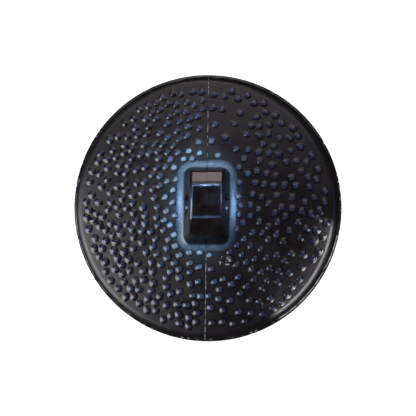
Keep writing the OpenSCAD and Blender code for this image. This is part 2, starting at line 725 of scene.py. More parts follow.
@dataclass(frozen=True)
class GlossRim:
    """Glossy black plastic of the front, with small pale chips along its outer edge.

    The edge's radius and height are in millimetres.
    """

    edge_radius: float
    edge_height: float
    name: str = "gloss_black_rim"
    dark: Colour = (0.0045, 0.0035, 0.004, 1)
    light: Colour = (0.009, 0.007, 0.008, 1)
    chip: Colour = (0.24, 0.23, 0.225, 1)
    roughness: float = 0.12
    roughness_spread: float = 0.06
    chip_roughness: float = 0.35
    edge_band: tuple[float, float] = (0.22, 0.06)
    height_band: tuple[float, float] = (0.45, 0.2)
    chip_scale: float = 2.3
    chip_detail: float = 4.0
    chip_limits: tuple[float, float] = (0.60, 0.66)
    speck_scale: float = 2.2
    speck_size: float = 0.06
    speck_cover: float = 0.66
    grain_scale: float = 6.0
    patch_scale: float = 0.5
    scratch_scale: float = 0.9
    scratch_share: float = 0.5
    relief: float = 0.004 * MM
    ior: float = 1.5

    def chips(self, shader: Shader) -> NodeSocket:
        """Mask of the worn chips, which keep to the rim's upper edge.

        Args:
            shader: The material under construction.

        Returns:
            The mask's socket.
        """
        place = shader.place()
        parts = shader.add("SeparateXYZ", Vector=place).outputs
        outward, inward = self.edge_band
        radius = shader.span(parts["X"], parts["Y"])
        near_edge = shader.ramp(radius, self.edge_radius - outward, self.edge_radius - inward)
        lower, upper = self.height_band
        high_up = shader.ramp(parts["Z"], self.edge_height - lower, self.edge_height - upper)
        knocks = shader.noise(place, self.chip_scale, self.chip_detail)
        broken = shader.ramp(knocks, *self.chip_limits)
        return shader.times(shader.times(near_edge, high_up), broken)

    def build(self, effects: Effects) -> Material:
        """Builds the material.

        Args:
            effects: The shared node groups.

        Returns:
            The finished material.
        """
        shader = Shader(self.name)
        grain = shader.effect(effects.grain, Scale=self.grain_scale, Patch_Scale=self.patch_scale)
        lines = shader.effect(effects.scratches, Scale=self.scratch_scale)["Mask"]
        specks = shader.effect(
            effects.dust, Scale=self.speck_scale, Size=self.speck_size, Cover=self.speck_cover
        )["Mask"]
        chips = self.chips(shader)
        pale = shader.math("MAXIMUM", chips, specks)
        colour = shader.mix(grain["Patches"], self.dark, self.light)
        rough = shader.plus(shader.times(grain["Patches"], self.roughness_spread), self.roughness)
        shader.set(
            Base_Color=shader.mix(pale, colour, self.chip),
            Roughness=shader.plus(rough, shader.times(pale, self.chip_roughness)),
            IOR=self.ior,
        )
        marks = shader.plus(shader.times(lines, self.scratch_share), chips)
        shader.bump(shader.math("SUBTRACT", grain["Height"], marks), self.relief)
        return shader.material


@dataclass(frozen=True)
class TornPlastic:
    """Plastic paled by tearing, as on a fin of flash or a broken gate."""

    name: str = "mould_flash"
    dark: Colour = (0.02, 0.022, 0.03, 1)
    pale: Colour = (0.30, 0.31, 0.36, 1)
    scale: float = 2.4
    detail: float = 5.0
    low: float = 0.42
    high: float = 0.62
    roughness: float = 0.3
    roughness_spread: float = 0.2
    grain_scale: float = 14.0
    relief: float = 0.02 * MM

    def build(self, effects: Effects) -> Material:
        """Builds the material.

        Args:
            effects: The shared node groups.

        Returns:
            The finished material.
        """
        shader = Shader(self.name)
        grain = shader.effect(effects.grain, Scale=self.grain_scale, Patch_Scale=self.scale)
        tears = shader.noise(shader.place(), self.scale, self.detail)
        mask = shader.ramp(tears, self.low, self.high)
        shader.set(
            Base_Color=shader.mix(mask, self.dark, self.pale),
            Roughness=shader.plus(shader.times(mask, self.roughness_spread), self.roughness),
        )
        shader.bump(grain["Height"], self.relief)
        return shader.material


@dataclass(frozen=True)
class AmberCement:
    """Hardened amber cement with small bubbles."""

    name: str = "amber_cement"
    thin: Colour = (0.42, 0.27, 0.10, 1)
    thick: Colour = (0.20, 0.11, 0.03, 1)
    grain_scale: float = 7.0
    patch_scale: float = 1.2
    bubble_scale: float = 5.0
    bubble_size: float = 0.16
    bubble_cover: float = 0.45
    bubble_roughness: float = 0.3
    roughness: float = 0.22
    relief: float = 0.01 * MM

    def build(self, effects: Effects) -> Material:
        """Builds the material.

        Args:
            effects: The shared node groups.

        Returns:
            The finished material.
        """
        shader = Shader(self.name)
        grain = shader.effect(effects.grain, Scale=self.grain_scale, Patch_Scale=self.patch_scale)
        bubbles = shader.effect(
            effects.dust, Scale=self.bubble_scale, Size=self.bubble_size, Cover=self.bubble_cover
        )["Mask"]
        shader.set(
            Base_Color=shader.mix(grain["Patches"], self.thin, self.thick),
            Roughness=shader.plus(shader.times(bubbles, self.bubble_roughness), self.roughness),
        )
        shader.bump(shader.math("SUBTRACT", grain["Height"], bubbles), self.relief)
        return shader.material


@dataclass(frozen=True)
class PalePaper:
    """White background sheet, lit through from below."""

    name: str = "pale_sheet"
    low: Colour = (0.90, 0.90, 0.90, 1)
    high: Colour = (0.93, 0.93, 0.93, 1)
    grain_scale: float = 4.0
    patch_scale: float = 0.2
    roughness: float = 0.95
    specular: float = 0.1
    glow: float = 0.7

    def build(self, effects: Effects) -> Material:
        """Builds the material.

        Args:
            effects: The shared node groups.

        Returns:
            The finished material.
        """
        shader = Shader(self.name)
        grain = shader.effect(effects.grain, Scale=self.grain_scale, Patch_Scale=self.patch_scale)
        tone = shader.mix(grain["Patches"], self.low, self.high)
        shader.set(Base_Color=tone, Emission_Color=tone, Emission_Strength=self.glow)
        shader.set(Roughness=self.roughness, Specular_IOR_Level=self.specular)
        return shader.material


# ---------------------------------------------------------------- the back moulding


@dataclass
class DomePlate:
    """The domed plate of the back: a turned body from the dome round to the hollow below."""

    edge_height: float = 0.10 * MM
    shoulder: float = 0.80 * MM
    rise: float = 1.6 * MM
    wall: float = 1.2 * MM
    spigot_height: float = 0.8 * MM
    spigot_gap: float = 0.25 * MM
    spigot_width: float = 1.0 * MM
    recess_radius: float = RECESS_RADIUS
    tool_mark_start: float = 10.85 * MM
    tool_mark_pitch: float = 0.2 * MM
    tool_mark_depth: float = 0.004 * MM
    points_per_mark: int = 4
    soft: float = 0.05 * MM
    pole: float = POLE_RADIUS
    dome_steps: int = 14
    shoulder_steps: int = 9
    segments: int = 240
    crease: float = 35.0

    def __post_init__(self) -> None:
        """Takes the plate's place and size from the frame."""
        low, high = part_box(Node.BACK.value)
        self.centre = Vector(((low.x + high.x) / 2, (low.y + high.y) / 2, 0))
        self.radius = (high.x - low.x) / 2
        self.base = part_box(Node.CEMENT.value)[1].z
        self.flat_radius = self.radius - self.shoulder
        rise_all = self.shoulder + self.rise
        self.top = self.base + self.edge_height + rise_all
        span = self.flat_radius**2 + rise_all**2 - self.shoulder**2
        self.sphere = span / (2 * self.rise)
        self.sphere_z = self.top - self.sphere
        self.edge_angle = math.asin(self.flat_radius / (self.sphere - self.shoulder))

    def height(self, x: float, y: float) -> float:
        """Height of the bare dome at a place in plan."""
        away = (x - self.centre.x) ** 2 + (y - self.centre.y) ** 2
        return self.sphere_z + math.sqrt(self.sphere**2 - away)

    def normal(self, x: float, y: float) -> Vector:
        """Outward direction of the bare dome at a place in plan."""
        point = Vector((x, y, self.height(x, y)))
        return (point - Vector((self.centre.x, self.centre.y, self.sphere_z))).normalized()

    def profile(self) -> Profile:
        """Half section of the plate, from the dome's pole round to the hollow's pole.

        Returns:
            Radius and height of each ring.
        """
        steps = self.dome_steps
        points = []
        for i in range(steps):
            radius = self.pole + (self.tool_mark_start - self.pole) * i / steps
            points.append((radius, self.sphere_z + math.sqrt(self.sphere**2 - radius**2)))
        margin = self.sphere * math.sin(self.edge_angle) - self.tool_mark_start
        marks = round(margin / self.tool_mark_pitch * self.points_per_mark)
        for i in range(marks):
            radius = self.tool_mark_start + margin * i / marks
            ripple = self.tool_mark_depth * (1 - math.cos(2 * math.pi * i / self.points_per_mark)) / 2
            points.append((radius, self.sphere_z + math.sqrt(self.sphere**2 - radius**2) - ripple))
        shoulder_z = self.base + self.edge_height
        start = 90 - math.degrees(self.edge_angle)
        points += arc(self.flat_radius, shoulder_z, self.shoulder, start, 0, self.shoulder_steps)
        soft = self.soft
        spigot = self.recess_radius - self.spigot_gap
        inner = spigot - self.spigot_width
        foot = self.base - self.spigot_height
        points += [(self.radius, self.base + soft), (self.radius - soft, self.base)]
        points += [(spigot + soft, self.base), (spigot, self.base - soft), (spigot, foot + soft)]
        points += [(spigot - soft, foot), (inner + soft, foot), (inner, foot + soft)]
        hollow = self.sphere - self.wall
        for i in range(steps):
            radius = inner + (self.pole - inner) * i / (steps - 1)
            points.append((radius, self.sphere_z + math.sqrt(hollow**2 - radius**2)))
        return points

    def build(self) -> Object:
        """Turns the plate and shades it smooth.

        Returns:
            The plate, in object mode.
        """
        piece = turn_body("back_plate", self.profile(), self.centre, self.segments)
        smooth(piece, self.crease)
        return piece


@dataclass
class StudField:
    """Small round studs, placed by a seeded rule that keeps them apart."""

    dome: DomePlate
    seed: int = 40
    tries: int = 30000
    radius: float = 0.37 * MM
    height: float = 0.12 * MM
    sink: float = 0.03 * MM
    foot: float = 1.28
    tip: float = 0.03
    sides: int = 12
    crease: float = 75.0
    rings: tuple[tuple[float, float], ...] = (
        (1.10, 0.012),
        (0.93, 0.11),
        (0.77, 0.36),
        (0.60, 0.65),
        (0.42, 0.86),
        (0.22, 0.965),
    )
    painted_glow_rise: tuple[float, float] = (0.3, 0.95)
    left_gap: float = 0.73 * MM
    right_gap: float = 0.86 * MM
    blend: tuple[float, float] = (-1.5 * MM, 2.5 * MM)
    bare_place: tuple[float, float] = (1.5 * MM, 6.6 * MM)
    bare_reach: tuple[float, float] = (1.2 * MM, 2.2 * MM)
    bare_gain: float = 0.9
    drift: float = 0.16
    drift_pitch: float = 1.7 * MM
    reach: float = 11.42 * MM
    seam_gap: float = 0.33 * MM
    foot_half_length: float = 3.66 * MM
    foot_half_width: float = 2.2 * MM
    foot_gap: float = 0.62 * MM
    scar_place: tuple[float, float] = (1.66 * MM, -5.3 * MM)
    scar_stretch: float = 1.2
    scar_gap: float = 1.05 * MM
    full_reach: float = 6.2 * MM
    full_stretch: float = 1.25
    near_size: float = 0.72
    near_rise: float = 0.5
    size_range: tuple[float, float] = (0.9, 1.08)
    rise_range: tuple[float, float] = (0.85, 1.12)
    stretch_range: tuple[float, float] = (1.0, 1.12)
    painted_glow_range: tuple[float, float] = (0.55, 1.15)

    def gap(self, x: float, y: float) -> float:
        """Distance that studs keep at a place in plan, from the dome's centre.

        Args:
            x: Place to the right of the centre.
            y: Place up from the centre.

        Returns:
            The least distance between two studs' centres.
        """
        gap = self.left_gap + (self.right_gap - self.left_gap) * rise_between(x, *self.blend)
        off_x = (x - self.bare_place[0]) / self.bare_reach[0]
        off_y = (y - self.bare_place[1]) / self.bare_reach[1]
        bare = 1 + self.bare_gain * math.exp(-(off_x**2) - off_y**2)
        drift = 1 + self.drift * noise.noise(Vector((x, y, 0)) / self.drift_pitch)
        return gap * bare * drift

    def is_free(self, x: float, y: float) -> bool:
        """Whether a stud may stand at a place measured from the dome's centre.

        Args:
            x: Place to the right of the centre.
            y: Place up from the centre.

        Returns:
            True where the dome is clear.
        """
        if math.hypot(x, y) > self.reach:
            return False
        over_x = max(abs(x) - self.foot_half_width, 0)
        over_y = max(abs(y) - self.foot_half_length, 0)
        if math.hypot(over_x, over_y) < self.foot_gap:
            return False
        near_scar = math.hypot((x - self.scar_place[0]) / self.scar_stretch, y - self.scar_place[1])
        return abs(x) > self.seam_gap and near_scar > self.scar_gap

    def spots(self) -> list[tuple[float, float]]:
        """Draws the studs' places, measured from the dome's centre.

        Returns:
            Each stud's place in plan.
        """
        rng = random.Random(self.seed)
        chosen: list[tuple[float, float]] = []
        for _ in range(self.tries):
            x = rng.uniform(-self.reach, self.reach)
            y = rng.uniform(-self.reach, self.reach)
            if not self.is_free(x, y):
                continue
            gap = self.gap(x, y)
            if all(abs(x - a) > gap or abs(y - b) > gap or math.hypot(x - a, y - b) > gap for a, b in chosen):
                chosen.append((x, y))
        return chosen

    def make_stud(self) -> Object:
        """Models one stud: a round boss with a flared foot, closed below.

        Returns:
            The stud, at the origin.
        """
        clear_selection()
        foot = self.radius * self.foot
        bpy.ops.mesh.primitive_circle_add(
            vertices=self.sides, radius=foot, fill_type="NGON", location=(0, 0, -self.sink)
        )
        piece = begin_edit("stud", "FACE")
        last_radius = foot
        last_height = -self.sink
        for ring_radius, ring_height in self.rings:
            radius = self.radius * ring_radius
            height = self.height * ring_height
            ratio = radius / last_radius
            push_ring(height - last_height, (ratio, ratio), Vector((0, 0, height)))
            last_radius = radius
            last_height = height
        bpy.ops.mesh.poke(offset=self.height * self.tip)
        close_edit()
        # Painted reflection: the upper part of each stud holds the blue glow of the ring lamps.
        paint_points(piece, PAINTED_GLOW, lambda p: rise_between(p.z / self.height, *self.painted_glow_rise))
        smooth(piece, self.crease)
        return piece

    def build(self, material: Material) -> Object:
        """Copies the stud to every spot, set square to the dome, and joins the copies.

        Args:
            material: The studs' finish.

        Returns:
            All the studs as one object.
        """
        rng = random.Random(self.seed + 1)
        stud = self.make_stud()
        stud.data.materials.append(material)
        copies = []
        for x, y in self.spots():
            away = min(math.hypot(x, y / self.full_stretch) / self.full_reach, 1)
            size = (self.near_size + (1 - self.near_size) * away) * rng.uniform(*self.size_range)
            rise = (self.near_rise + (1 - self.near_rise) * away) * rng.uniform(*self.rise_range)
            long = rng.uniform(*self.stretch_range)
            turn = rng.uniform(0, math.pi)
            px, py = self.dome.centre.x + x, self.dome.centre.y + y
            upright = self.dome.normal(px, py).to_track_quat("Z", "Y").to_matrix().to_4x4()
            copy = stud.copy()
            copy.data = stud.data.copy()
            # Each copy's painted blue reflection is scaled at random.
            painted_glow_share = rng.uniform(*self.painted_glow_range)
            for item in copy.data.attributes[PAINTED_GLOW].data:
                item.value *= painted_glow_share
            shape = Matrix.Diagonal((size * long, size / long, rise, 1))
            place = Matrix.Translation((px, py, self.dome.height(px, py)))
            copy.matrix_world = place @ upright @ Matrix.Rotation(turn, 4, "Z") @ shape
            bpy.context.collection.objects.link(copy)
            copies.append(copy)
        bpy.data.objects.remove(stud)
        LOG.info("studs: %d", len(copies))
        studs = join(copies, "back_studs")
        apply_place(studs)
        return studs


@dataclass
class ShankBlock:
    """The solid shank: a flared foot, tapered walls, two end slopes, a flat top and a thread hole."""

    dome: DomePlate
    foot_width: float = 4.24 * MM
    foot_length: float = 7.22 * MM
    corner: float = 0.78 * MM
    corner_steps: int = 8
    outline_pitch: float = 0.3 * MM
    flare_steps: tuple[tuple[float, float], ...] = (
        (0.22 * MM, 0.008 * MM),
        (0.20 * MM, 0.017 * MM),
        (0.18 * MM, 0.025 * MM),
        (0.14 * MM, 0.026 * MM),
        (0.10 * MM, 0.024 * MM),
        (0.08 * MM, 0.024 * MM),
        (0.05 * MM, 0.020 * MM),
        (0.04 * MM, 0.022 * MM),
        (0.03 * MM, 0.026 * MM),
        (0.02 * MM, 0.034 * MM),
    )
    flare_sink: float = 0.02 * MM
    slab: float = 0.3 * MM
    slope_width: float = 3.26 * MM
    slope_length: float = 6.0 * MM
    slope_drop: float = 1.25 * MM
    top_width: float = 3.17 * MM
    top_length: float = 3.32 * MM
    edge_round: float = 0.3 * MM
    edge_steps: int = 5
    hole_radius: float = 1.0 * MM
    hole_height: float = 1.75 * MM
    hole_sides: int = 48
    cutter_reach: float = 1.5
    mismatch: float = 0.05 * MM
    seam_step: float = 0.02 * MM
    sharp_edge: float = 15.0
    crease: float = 28.0
    wall_steepness: float = 0.3
    foot_clear: float = 0.2 * MM
    painted_glow_low: float = 0.22
    painted_glow_high: float = 0.36
    painted_glow_inner: float = 0.16 * MM
    painted_glow_outer: float = 0.42 * MM
    painted_glow_lean: tuple[float, float] = (-0.7, 0.4)

    def __post_init__(self) -> None:
        """Takes the shank's top from the frame."""
        self.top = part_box(Node.BACK.value)[1].z
        self.slope_z = self.top - self.slope_drop
        self.centre = self.dome.centre.copy()
        self.flare = sum(step for step, _ in self.flare_steps)

    def outline(self, grow: float) -> list[tuple[float, float]]:
        """Points of the foot's round-cornered outline, grown outwards, from its lower right corner.

        Args:
            grow: How far outside the foot the outline lies.

        Returns:
            The points in plan, counter-clockwise.
        """
        half_x, half_y = self.foot_width / 2 - self.corner, self.foot_length / 2 - self.corner
        radius = self.corner + grow
        corners = (
            (half_x, -half_y, -90),
            (half_x, half_y, 0),
            (-half_x, half_y, 90),
            (-half_x, -half_y, 180),
        )
        points: list[tuple[float, float]] = []
        for i, (x, y, start) in enumerate(corners):
            points += arc(x, y, radius, start, start + 90, self.corner_steps)
            side = 2 * (half_y if i % 2 == 0 else half_x)
            cuts = round(side / self.outline_pitch)
            turn = math.radians(start + 90)
            last_x, last_y = points[-1]
            for k in range(1, cuts):
                run = side * k / cuts
                points.append((last_x - run * math.sin(turn), last_y + run * math.cos(turn)))
        return points

    def raise_foot(self) -> Object:
        """Models the flared foot as a round-cornered slab with inset steps.

        Returns:
            The foot, in edit mode, with its lid selected.
        """
        points = self.outline(self.flare)
        clear_selection()
        start = self.dome.top - self.flare_sink - self.slab
        bpy.ops.mesh.primitive_circle_add(
            vertices=len(points), radius=self.foot_length, fill_type="NGON", location=(0, 0, start)
        )
        piece = begin_edit("shank_block", "FACE")
        mesh = bmesh.from_edit_mesh(piece.data)
        for vert, (x, y) in zip(mesh.verts, points):
            vert.co.x = self.centre.x + x
            vert.co.y = self.centre.y + y
        bmesh.update_edit_mesh(piece.data)
        bpy.ops.mesh.select_all(action="SELECT")
        push_ring(self.slab, (1, 1), self.centre)
        for step, rise in self.flare_steps:
            bpy.ops.mesh.inset(thickness=step, depth=rise, use_even_offset=True)
        return piece

    def follow_dome(self, piece: Object) -> None:
        """Lowers the foot's points so that it lies on the curved dome.

        Args:
            piece: The foot, in edit mode.
        """
        mesh = bmesh.from_edit_mesh(piece.data)
        for vert in mesh.verts:
            vert.co.z += self.dome.height(vert.co.x, vert.co.y) - self.dome.top
        bmesh.update_edit_mesh(piece.data)

    def sharpen_corners(self, piece: Object) -> None:
        """Draws each round corner of the top face together to one point.

        Args:
            piece: The block, in edit mode.
        """
        half_x = self.slope_width / 2
        half_y = self.slope_length / 2
        bpy.ops.mesh.select_mode(type="VERT")
        for side_x in (-1, 1):
            for side_y in (-1, 1):
                corner = Vector(
                    (self.centre.x + side_x * half_x, self.centre.y + side_y * half_y, self.slope_z)
                )
                select_where(piece, "verts", lambda v: (v.co - corner).length < self.corner)
                bpy.ops.transform.resize(value=(0, 0, 1), center_override=corner)
        bpy.ops.mesh.select_all(action="SELECT")
        bpy.ops.mesh.remove_doubles(threshold=10 * TINY)

    def raise_block(self, piece: Object) -> None:
        """Extrudes the walls, the end slopes and the flat top.

        Args:
            piece: The foot, in edit mode.
        """
        mesh = bmesh.from_edit_mesh(piece.data)
        foot_z = max(v.co.z for v in mesh.verts)
        many = len(self.outline(0)) - 1
        wide = [f for f in mesh.faces if len(f.verts) > many]
        lid = max(wide, key=lambda f: f.calc_center_median().z).index
        select_where(piece, "faces", lambda f: f.index == lid)
        taper = (self.slope_width / self.foot_width, self.slope_length / self.foot_length)
        push_ring(self.slope_z - foot_z, taper, self.centre)
        level = (0, 0, self.slope_z)
        bpy.ops.transform.resize(value=(1, 1, 0), center_override=level)
        self.sharpen_corners(piece)
        bpy.ops.mesh.select_mode(type="FACE")
        select_where(piece, "faces", lambda f: min(v.co.z for v in f.verts) > self.slope_z - NEAR)
        narrow = (self.top_width / self.slope_width, self.top_length / self.slope_length)
        push_ring(self.slope_drop, narrow, self.centre)
        self.clear_slopes(piece)

    def clear_slopes(self, piece: Object) -> None:
        """Dissolves the edges that run up the slopes and sides between their corners.

        Args:
            piece: The block, in edit mode.
        """
        half = self.slope_width / 2 - NEAR

        def is_spare(edge: bmesh.types.BMEdge) -> bool:
            """Whether an edge rises from the slopes' foot to the flat top away from a corner.

            Args:
                edge: The edge.

            Returns:
                True for an edge to dissolve.
            """
            low, high = sorted(edge.verts, key=lambda v: v.co.z)
            rises = low.co.z > self.slope_z - NEAR and high.co.z - low.co.z > self.slope_drop / 2
            end = self.slope_length / 2 - NEAR
            off = low.co - self.centre
            return rises and not (abs(off.x) > half and abs(off.y) > end)

        bpy.ops.mesh.select_mode(type="EDGE")
        select_where(piece, "edges", is_spare)
        bpy.ops.mesh.dissolve_edges(use_verts=True)

    def round_edges(self, piece: Object) -> None:
        """Rounds the edges of the slopes and of the flat top.

        Args:
            piece: The block, in edit mode.
        """

        def is_edge(edge: bmesh.types.BMEdge) -> bool:
            """Whether an edge is one of the block's crisp upper edges.

            Args:
                edge: The edge.

            Returns:
                True for an edge to round.
            """
            if min(v.co.z for v in edge.verts) < self.slope_z - NEAR:
                return False
            return edge.calc_face_angle(0) > math.radians(self.sharp_edge)

        bpy.ops.mesh.select_mode(type="EDGE")
        select_where(piece, "edges", is_edge)
        bpy.ops.mesh.bevel(
            offset=self.edge_round, segments=self.edge_steps, profile=0.5, affect="EDGES"
        )

    def drill(self, piece: Object) -> None:
        """Cuts the thread hole across the shank.

        Args:
            piece: The block, in object mode.
        """
        clear_selection()
        place = (self.centre.x, self.centre.y, self.dome.top + self.hole_height)
        bpy.ops.mesh.primitive_cylinder_add(
            vertices=self.hole_sides,
            radius=self.hole_radius,
            depth=self.foot_width * self.cutter_reach,
            location=place,
            rotation=(0, math.pi / 2, 0),
        )
        cutter = bpy.context.object
        activate(piece)
        cut = piece.modifiers.new("thread_hole", "BOOLEAN")
        cut.operation = "DIFFERENCE"
        cut.solver = "EXACT"
        cut.object = cutter
        bpy.ops.object.modifier_apply(modifier=cut.name)
        bpy.data.objects.remove(cutter)

    def offset_halves(self, piece: Object) -> None:
        """Moves the half on the right of the seam a little along the seam, as the mould did.

        Args:
            piece: The block, in object mode.
        """
        activate(piece)
        bpy.ops.object.mode_set(mode="EDIT")
        for x in (self.centre.x, self.centre.x + self.seam_step):
            bpy.ops.mesh.select_all(action="SELECT")
            bpy.ops.mesh.bisect(plane_co=(x, 0, 0), plane_no=(1, 0, 0), threshold=TINY)
        bpy.ops.mesh.select_mode(type="VERT")
        right = self.centre.x + self.seam_step - 10 * TINY
        select_where(piece, "verts", lambda v: v.co.x > right)
        bpy.ops.transform.translate(value=(0, self.mismatch, 0))
        bpy.ops.object.mode_set(mode="OBJECT")

    def painted_glow_at(self, place: Vector) -> float:
        """How much painted blue reflection lies on the flare at a place: most in its middle, more on the left
        and top, where the lamps reflect brightest.

        Args:
            place: Place on the shank.

        Returns:
            Cover of the painted reflection, from 0 to 1.
        """
        over_x = abs(place.x - self.centre.x) - self.foot_width / 2 + self.corner
        over_y = abs(place.y - self.centre.y) - self.foot_length / 2 + self.corner
        away = math.hypot(max(over_x, 0), max(over_y, 0)) - self.corner
        inner = rise_between(away, 0.0, self.painted_glow_inner)
        outer = 1 - rise_between(away, self.painted_glow_outer, self.flare)
        lean = rise_between((place.y - place.x) / self.foot_length, *self.painted_glow_lean)
        return inner * outer * (self.painted_glow_low + (self.painted_glow_high - self.painted_glow_low) * lean)

    def build(
        self, satin: Material, polished: Material, dull: Material
    ) -> Object:
        """Builds the shank and gives its foot, its upper faces and its walls their finishes.

        Args:
            satin: Finish of the flared foot, with the painted blue reflection.
            polished: Finish of the flat top and the end slopes.
            dull: Finish of the walls.

        Returns:
            The shank, in object mode.
        """
        piece = self.raise_foot()
        self.follow_dome(piece)
        self.raise_block(piece)
        self.round_edges(piece)
        bpy.ops.object.mode_set(mode="OBJECT")
        self.drill(piece)
        self.offset_halves(piece)
        for material in (satin, polished, dull):
            piece.data.materials.append(material)
        # Painted reflection: the flare's points hold the blue glow of the ring lamps.
        paint_points(piece, PAINTED_GLOW, self.painted_glow_at)
        foot = self.dome.height(self.centre.x + self.foot_width / 2, self.centre.y)
        foot += self.foot_clear
        place_faces(piece, 1, lambda f: f.center.z > foot)
        place_faces(piece, 2, lambda f: abs(f.normal.z) < self.wall_steepness)
        smooth(piece, self.crease)
        weight = piece.modifiers.new("flat_faces", "WEIGHTED_NORMAL")
        weight.keep_sharp = True
        bpy.ops.object.modifier_apply(modifier=weight.name)
        return piece


@dataclass
class SeamFlash:
    """The thin raised line that the two halves of the mould leave, worn and broken."""

    dome: DomePlate
    shank: ShankBlock
    seed: int = 9
    step: float = 0.11 * MM
    width: float = 0.10 * MM
    height: float = 0.055 * MM
    block_height: float = 0.006 * MM
    sink: float = 0.05 * MM
    stray: float = 0.03 * MM
    offset: float = 0.02 * MM
    stray_pitch: float = 1.6 * MM
    block_width: float = 0.4
    width_range: tuple[float, float] = (0.6, 1.1)
    height_range: tuple[float, float] = (0.55, 1.30)
    upper_width: float = 0.8
    upper_height: float = 0.75
    flare_rise: float = 0.22 * MM
    skin: float = 0.005 * MM
    fin_reach: float = 12.62 * MM
    fin_height: float = 0.16 * MM
    crease: float = 20.0

    def surface(self, y: float) -> float:
        """Height of the back's outline along the seam, measured from the dome's centre.

        Args:
            y: Place along the seam.

        Returns:
            The height there.
        """
        dome, shank = self.dome, self.shank
        span = abs(y)
        block = [
            (shank.top_length / 2, shank.top),
            (shank.slope_length / 2, shank.slope_z),
            (shank.foot_length / 2, dome.top),
        ]
        if span <= block[0][0]:
            return shank.top
        for (inner, high), (outer, low) in zip(block, block[1:]):
            if span <= outer:
                return high + (low - high) * (span - inner) / (outer - inner)
        if span < dome.flat_radius:
            flare = max(0.0, 1 - (span - shank.foot_length / 2) / shank.flare)
            return dome.height(dome.centre.x, dome.centre.y + y) + self.flare_rise * flare**2
        drop = min((span - dome.flat_radius) / dome.shoulder, 1)
        shoulder = dome.base + dome.edge_height + dome.shoulder * math.sqrt(1 - drop**2)
        return shoulder if span < dome.radius else dome.base + self.fin_height

    def path(self) -> list[tuple[Vector, float, float]]:
        """Places along the seam, each with the line's width and height there.

        Returns:
            Place, width and height of each step.
        """
        rng = random.Random(self.seed)
        points = []
        y = -self.fin_reach - self.dome.centre.y
        end = self.fin_reach - self.dome.centre.y
        block_end = self.shank.foot_length / 2
        while y < end:
            wave = noise.noise(Vector((0.3, y / self.stray_pitch, 0.7)))
            x = self.dome.centre.x + self.offset + self.stray * wave
            on_block = abs(y) < block_end
            worn = rng.uniform(*self.height_range)
            height = self.block_height if on_block else self.height * worn
            width = self.width * (self.block_width if on_block else rng.uniform(*self.width_range))
            if y > block_end:
                width *= self.upper_width
                height *= self.upper_height
            points.append((Vector((x, self.dome.centre.y + y, self.surface(y))), width, height))
            y += self.step
        return points

    def build(self, material: Material, polished: Material) -> Object:
        """Extrudes the line's four-sided section along the seam.

        Args:
            material: The line's finish on the dome and the rim.
            polished: Its finish over the shank.

        Returns:
            The line, in object mode.
        """
        points = self.path()
        clear_selection()
        bpy.ops.mesh.primitive_circle_add(
            vertices=4,
            radius=self.width / 2,
            fill_type="NGON",
            location=points[0][0],
            rotation=(math.pi / 2, 0, 0),
        )
        piece = begin_edit("seam_flash", "FACE")
        for (before, _, _), (after, _, _) in zip(points, points[1:]):
            bpy.ops.mesh.extrude_region_move(
                TRANSFORM_OT_translate={"value": tuple(after - before)}
            )
        mesh = bmesh.from_edit_mesh(piece.data)
        for vert in mesh.verts:
            place, width, height = min(points, key=lambda p: abs(p[0].y - vert.co.y))
            off = vert.co - place
            vert.co.x = place.x + off.x / self.width * width
            vert.co.z = place.z + (height if off.z > self.width / 4 else 0)
            if off.z < -self.width / 4:
                vert.co.z = place.z - self.sink
            elif abs(off.z) <= self.width / 4:
                vert.co.z = place.z - self.skin
        bmesh.update_edit_mesh(piece.data)
        close_edit()
        piece.data.materials.append(material)
        piece.data.materials.append(polished)
        block = self.shank.foot_length / 2
        place_faces(piece, 1, lambda f: abs(f.center.y - self.dome.centre.y) < block)
        smooth(piece, self.crease)
        return piece


@dataclass
class GateScar:
    """The rough oval patch where the moulding's gate was broken off."""

    dome: DomePlate
    place: tuple[float, float] = (1.80 * MM, -5.07 * MM)
    length: float = 1.5 * MM
    width: float = 1.0 * MM
    height: float = 0.07 * MM
    wall: float = 1.5
    rings: tuple[tuple[float, float], ...] = ((0.06 * MM, 0.3), (0.09 * MM, -0.5), (0.12 * MM, 0.4))
    jag: float = 0.05 * MM
    jag_even: float = 0.6
    jag_normal: float = 0.4
    seed: int = 5
    sides: int = 26
    crease: float = 20.0

    def build(self, material: Material) -> Object:
        """Models the patch: an oval step with a torn, sunken middle.

        Args:
            material: The patch's finish.

        Returns:
            The patch, in object mode.
        """
        clear_selection()
        x = self.dome.centre.x + self.place[0]
        y = self.dome.centre.y + self.place[1]
        level = self.dome.height(x, y)
        bpy.ops.mesh.primitive_circle_add(
            vertices=self.sides, radius=0.5, fill_type="NGON", location=(x, y, level - self.height)
        )
        bpy.context.object.scale = (self.length, self.width, 1)
        piece = begin_edit("gate_scar", "FACE")
        push_ring(self.height * self.wall, (1, 1), Vector((x, y, level)))
        for inset, rise in self.rings:
            bpy.ops.mesh.inset(thickness=inset, depth=rise * self.height)
        bpy.ops.mesh.poke()
        bpy.ops.mesh.subdivide(number_cuts=2)
        select_where(piece, "verts", lambda v: v.co.z > level)
        bpy.ops.mesh.select_mode(type="VERT")
        bpy.ops.transform.vertex_random(
            offset=self.jag, uniform=self.jag_even, normal=self.jag_normal, seed=self.seed
        )
        close_edit()
        piece.data.materials.append(material)
        smooth(piece, self.crease)
        return piece


